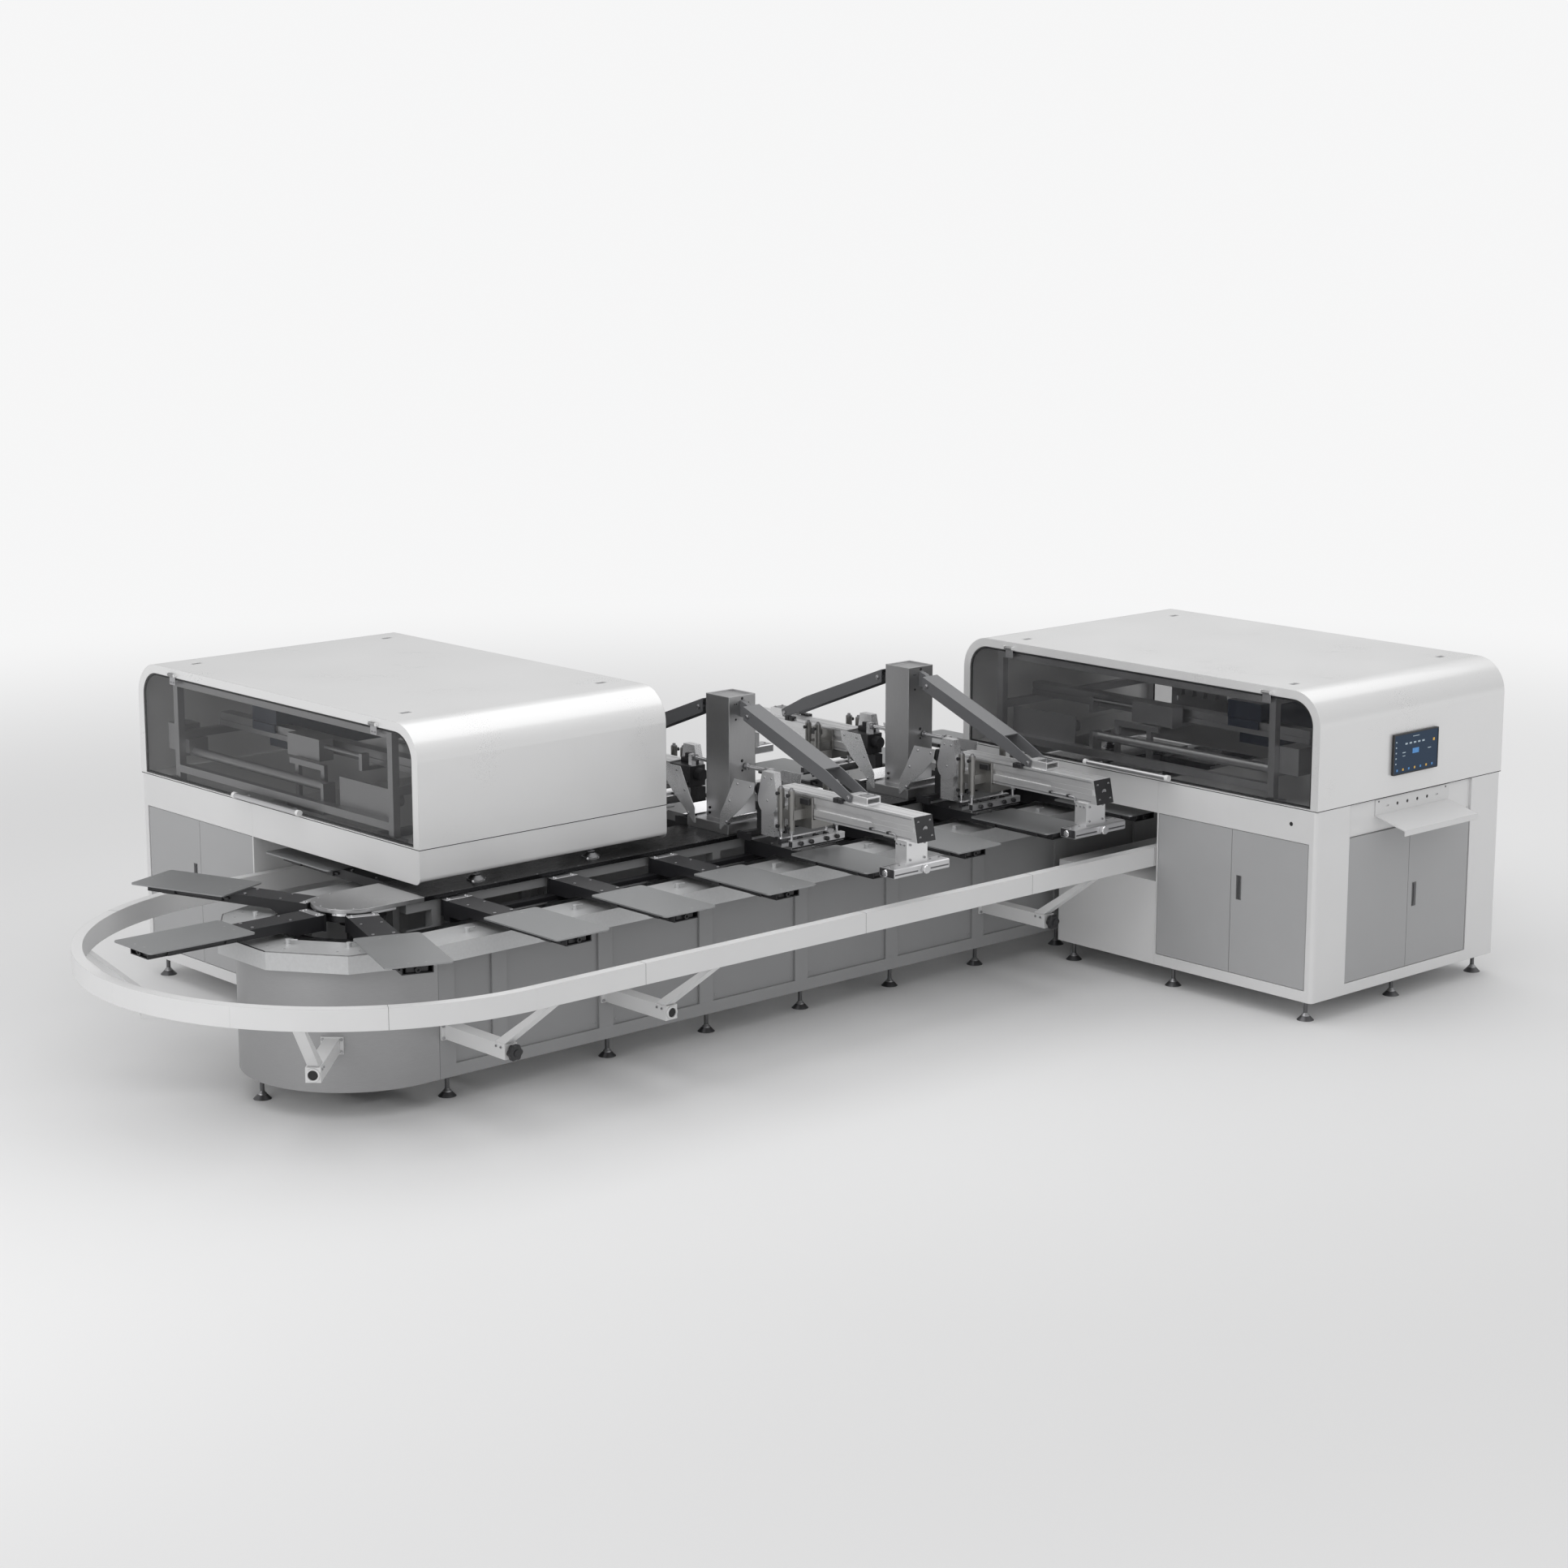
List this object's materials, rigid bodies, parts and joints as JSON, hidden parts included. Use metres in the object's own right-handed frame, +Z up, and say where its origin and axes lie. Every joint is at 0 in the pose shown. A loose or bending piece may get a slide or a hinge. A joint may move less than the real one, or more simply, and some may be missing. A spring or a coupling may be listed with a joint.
{
  "type": "screen printing carousel",
  "caption": "Oval automatic screen printing carousel: garment pallets circulate past print heads on masts and two hooded digital print modules.",
  "frame": {"origin": "centre of the machine's footprint on the floor", "axes": "+X along the oval's long axis, -Y towards the operator side with the near pallets, +Z up"},
  "size_m": [9.774, 5.876, 1.929],
  "materials": {
    "aluminium": "satin",
    "black_paint": "satin",
    "black_plastic": "matte",
    "blade_holder": "satin",
    "bright_steel": "polished",
    "dark_blue": "satin",
    "dark_paint": "satin",
    "dark_steel": "satin",
    "deck_sheet": "polished",
    "grey_paint": "satin",
    "pallet_grey": "matte",
    "satin_steel": "brushed",
    "tinted_glass": "polished",
    "white_paint": "gloss"
  },
  "bodies": {
    "machine_frame": {"base_frame": "grey_paint", "base_panels": "grey_paint", "belt_covers": "dark_paint", "clamp_bars": "aluminium", "deck_plate": "deck_sheet", "end_caps": "satin_steel", "end_casings": "grey_paint", "gantries": "aluminium", "guard_brackets": "grey_paint", "guide_track": "bright_steel", "gutter_plates": "grey_paint", "head_beams": "aluminium", "head_drives": "black_paint", "hood_shells": "white_paint", "index_drives": "dark_steel", "inner_frames": "aluminium", "keyboard_shelves": "white_paint", "levelling_feet": "dark_steel", "low_boxes": "grey_paint", "mast_struts": "dark_paint", "masts": "satin_steel", "module_cabinets": "white_paint", "module_trays": "white_paint", "outer_rail": "white_paint", "rail_arms": "white_paint", "shut_door_leaves": "grey_paint", "tie_shafts": "bright_steel", "touch_screens": "black_plastic"},
    "near_run": {"near_arms": "black_paint", "near_pallets": "pallet_grey"},
    "far_run": {"far_arms": "black_paint", "far_pallets": "pallet_grey"},
    "left_turn": {"left_end_arms": "black_paint", "left_end_pallets": "pallet_grey"},
    "right_turn": {"right_end_arms": "black_paint", "right_end_pallets": "pallet_grey"},
    "near_left_carriage": {"near_left_carriage": "aluminium"},
    "near_left_squeegee": {"near_left_squeegee": "blade_holder"},
    "near_left_flood": {"near_left_flood_bar": "blade_holder"},
    "near_right_carriage": {"near_right_carriage": "aluminium"},
    "near_right_squeegee": {"near_right_squeegee": "blade_holder"},
    "near_right_flood": {"near_right_flood_bar": "blade_holder"},
    "far_left_carriage": {"far_left_carriage": "aluminium"},
    "far_left_squeegee": {"far_left_squeegee": "blade_holder"},
    "far_left_flood": {"far_left_flood_bar": "blade_holder"},
    "far_right_carriage": {"far_right_carriage": "aluminium"},
    "far_right_squeegee": {"far_right_squeegee": "blade_holder"},
    "far_right_flood": {"far_right_flood_bar": "blade_holder"},
    "right_inner_window": {"right_inner_window": "tinted_glass"},
    "right_outer_window": {"right_outer_window": "tinted_glass"},
    "right_inner_door": {"right_inner_door": "grey_paint"},
    "right_outer_door": {"right_outer_door": "grey_paint"},
    "right_side_door": {"right_side_door": "grey_paint"},
    "right_print_unit": {"right_print_unit": "dark_blue"},
    "left_inner_window": {"left_inner_window": "tinted_glass"},
    "left_outer_window": {"left_outer_window": "tinted_glass"},
    "left_inner_door": {"left_inner_door": "grey_paint"},
    "left_outer_door": {"left_outer_door": "grey_paint"},
    "left_side_door": {"left_side_door": "grey_paint"},
    "left_print_unit": {"left_print_unit": "dark_blue"}
  },
  "joints": [
    {"name": "near_index", "type": "slide", "parent": "machine_frame", "child": "near_run", "axis": [1, 0, 0], "range_m": [-0.2, 0.2]},
    {"name": "far_index", "type": "slide", "parent": "machine_frame", "child": "far_run", "axis": [1, 0, 0], "range_m": [-0.2, 0.2]},
    {"name": "left_turn_index", "type": "hinge", "parent": "machine_frame", "child": "left_turn", "pos_m": [-3.427, 0, 0.965], "axis": [0, 0, 1], "range_deg": [-19.5, 19.5]},
    {"name": "right_turn_index", "type": "hinge", "parent": "machine_frame", "child": "right_turn", "pos_m": [3.427, 0, 0.965], "axis": [0, 0, 1], "range_deg": [-19.5, 19.5]},
    {"name": "near_left_print_stroke", "type": "slide", "parent": "machine_frame", "child": "near_left_carriage", "axis": [0, -1, 0], "range_m": [0, 0.45]},
    {"name": "near_left_squeegee_lift", "type": "slide", "parent": "near_left_carriage", "child": "near_left_squeegee", "axis": [0, 0, 1], "range_m": [-0.024, 0.01]},
    {"name": "near_left_flood_lift", "type": "slide", "parent": "near_left_carriage", "child": "near_left_flood", "axis": [0, 0, 1], "range_m": [-0.024, 0.01]},
    {"name": "near_right_print_stroke", "type": "slide", "parent": "machine_frame", "child": "near_right_carriage", "axis": [0, -1, 0], "range_m": [0, 0.45]},
    {"name": "near_right_squeegee_lift", "type": "slide", "parent": "near_right_carriage", "child": "near_right_squeegee", "axis": [0, 0, 1], "range_m": [-0.024, 0.01]},
    {"name": "near_right_flood_lift", "type": "slide", "parent": "near_right_carriage", "child": "near_right_flood", "axis": [0, 0, 1], "range_m": [-0.024, 0.01]},
    {"name": "far_left_print_stroke", "type": "slide", "parent": "machine_frame", "child": "far_left_carriage", "axis": [0, 1, 0], "range_m": [0, 0.45]},
    {"name": "far_left_squeegee_lift", "type": "slide", "parent": "far_left_carriage", "child": "far_left_squeegee", "axis": [0, 0, 1], "range_m": [-0.024, 0.01]},
    {"name": "far_left_flood_lift", "type": "slide", "parent": "far_left_carriage", "child": "far_left_flood", "axis": [0, 0, 1], "range_m": [-0.024, 0.01]},
    {"name": "far_right_print_stroke", "type": "slide", "parent": "machine_frame", "child": "far_right_carriage", "axis": [0, 1, 0], "range_m": [0, 0.45]},
    {"name": "far_right_squeegee_lift", "type": "slide", "parent": "far_right_carriage", "child": "far_right_squeegee", "axis": [0, 0, 1], "range_m": [-0.024, 0.01]},
    {"name": "far_right_flood_lift", "type": "slide", "parent": "far_right_carriage", "child": "far_right_flood", "axis": [0, 0, 1], "range_m": [-0.024, 0.01]},
    {"name": "right_inner_window_hinge", "type": "hinge", "parent": "machine_frame", "child": "right_inner_window", "pos_m": [1.287, -1.3195, 1.893], "axis": [0, 1, 0], "range_deg": [0, 35]},
    {"name": "right_outer_window_hinge", "type": "hinge", "parent": "machine_frame", "child": "right_outer_window", "pos_m": [3.048, -1.3195, 1.893], "axis": [0, -1, 0], "range_deg": [0, 70]},
    {"name": "right_inner_door_hinge", "type": "hinge", "parent": "machine_frame", "child": "right_inner_door", "pos_m": [1.31, -2.663, 0.622], "axis": [0, 0, 1], "range_deg": [0, 95]},
    {"name": "right_outer_door_hinge", "type": "hinge", "parent": "machine_frame", "child": "right_outer_door", "pos_m": [3.025, -2.663, 0.622], "axis": [0, 0, -1], "range_deg": [0, 95]},
    {"name": "right_side_door_hinge", "type": "hinge", "parent": "machine_frame", "child": "right_side_door", "pos_m": [2.736, -2.719, 0.622], "axis": [0, 0, 1], "range_deg": [0, 95]},
    {"name": "right_print_unit_travel", "type": "slide", "parent": "machine_frame", "child": "right_print_unit", "axis": [0, 1, 0], "range_m": [0, 1.25]},
    {"name": "left_inner_window_hinge", "type": "hinge", "parent": "machine_frame", "child": "left_inner_window", "pos_m": [-1.287, 1.3195, 1.893], "axis": [0, -1, 0], "range_deg": [0, 35]},
    {"name": "left_outer_window_hinge", "type": "hinge", "parent": "machine_frame", "child": "left_outer_window", "pos_m": [-3.048, 1.3195, 1.893], "axis": [0, 1, 0], "range_deg": [0, 70]},
    {"name": "left_inner_door_hinge", "type": "hinge", "parent": "machine_frame", "child": "left_inner_door", "pos_m": [-1.31, 2.663, 0.622], "axis": [0, 0, 1], "range_deg": [0, 95]},
    {"name": "left_outer_door_hinge", "type": "hinge", "parent": "machine_frame", "child": "left_outer_door", "pos_m": [-3.025, 2.663, 0.622], "axis": [0, 0, -1], "range_deg": [0, 95]},
    {"name": "left_side_door_hinge", "type": "hinge", "parent": "machine_frame", "child": "left_side_door", "pos_m": [-2.736, 2.719, 0.622], "axis": [0, 0, 1], "range_deg": [0, 95]},
    {"name": "left_print_unit_travel", "type": "slide", "parent": "machine_frame", "child": "left_print_unit", "axis": [0, -1, 0], "range_m": [0, 1.25]}
  ],
  "couplings": [
    {"joint": "far_index", "follows": "near_index", "ratio": -1},
    {"joint": "left_turn_index", "follows": "near_index", "rad_per_m": 1.6818},
    {"joint": "right_turn_index", "follows": "near_index", "rad_per_m": 1.6818}
  ]
}
